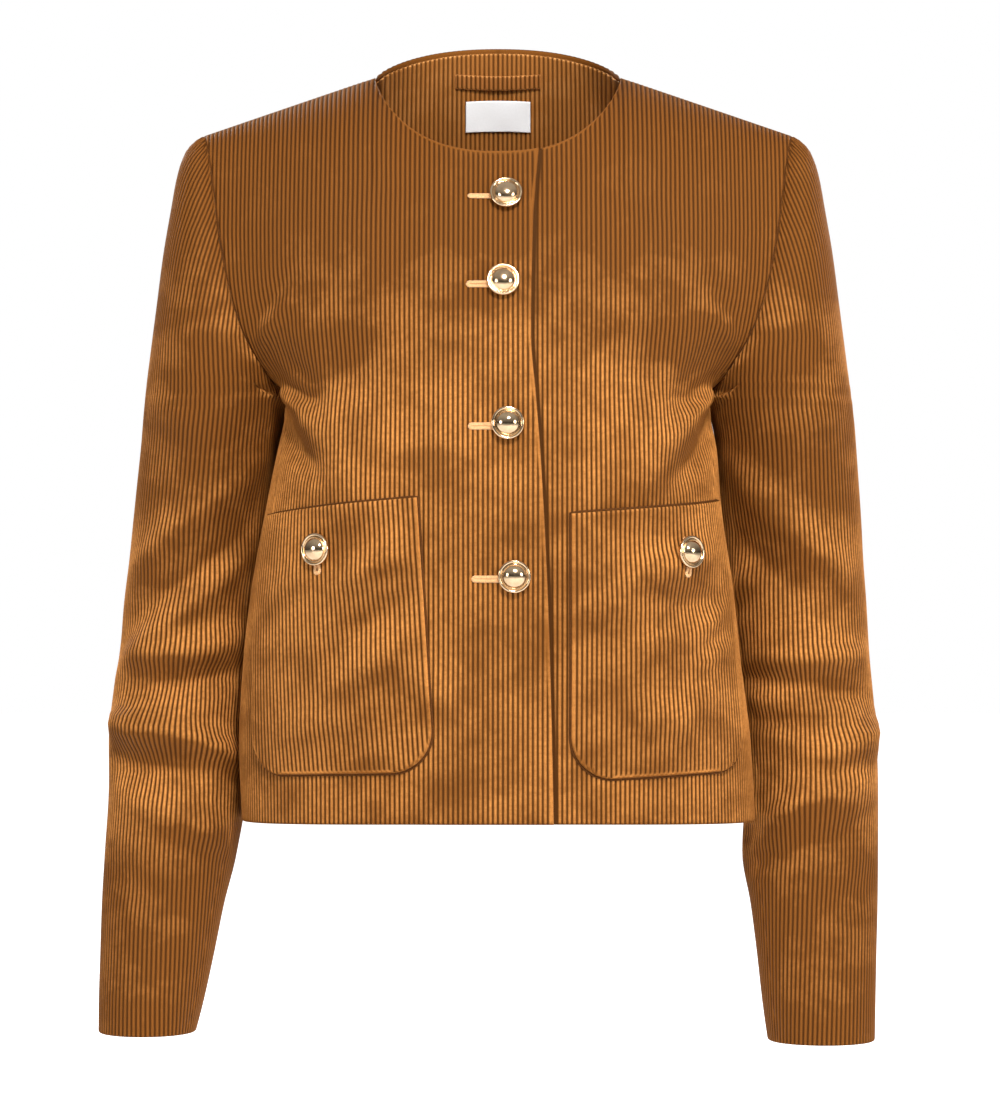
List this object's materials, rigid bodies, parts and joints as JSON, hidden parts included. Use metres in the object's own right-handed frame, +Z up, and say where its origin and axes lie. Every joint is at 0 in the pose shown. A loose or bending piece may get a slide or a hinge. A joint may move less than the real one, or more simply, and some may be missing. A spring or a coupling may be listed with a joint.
{
  "type": "cropped collarless corduroy jacket",
  "caption": "Short round-necked corduroy jacket with a buttoned front, two patch pockets and set-in sleeves, filled out as if worn.",
  "frame": {"origin": "midway between the neck ends of the two shoulder seams, where the wearer's shoulders hold the jacket", "axes": "+Z up, -Y towards the front, +X towards the wearer's left"},
  "size_m": [0.555, 0.2583, 0.7099],
  "materials": {
    "corduroy": "wide-wale corduroy, brushed nap with a soft sheen",
    "facing_corduroy": "wide-wale corduroy, wales running up and down",
    "label_cloth": "plain white satin, blank",
    "button_metal": "polished pale gold plate"
  },
  "bodies": {
    "root": {"front_right": "corduroy", "side_panel_right": "corduroy", "upper_sleeve_right": "corduroy", "under_sleeve_right": "corduroy", "pocket_right": "corduroy", "front_left": "corduroy", "side_panel_left": "corduroy", "upper_sleeve_left": "corduroy", "under_sleeve_left": "corduroy", "pocket_left": "corduroy", "back": "corduroy", "hanger_loop": "corduroy", "back_neck_facing": "facing_corduroy", "neck_label": "label_cloth", "front_button_1": "button_metal", "front_button_2": "button_metal", "front_button_3": "button_metal", "front_button_4": "button_metal", "pocket_button_right": "button_metal", "pocket_button_left": "button_metal"}
  },
  "joints": []
}
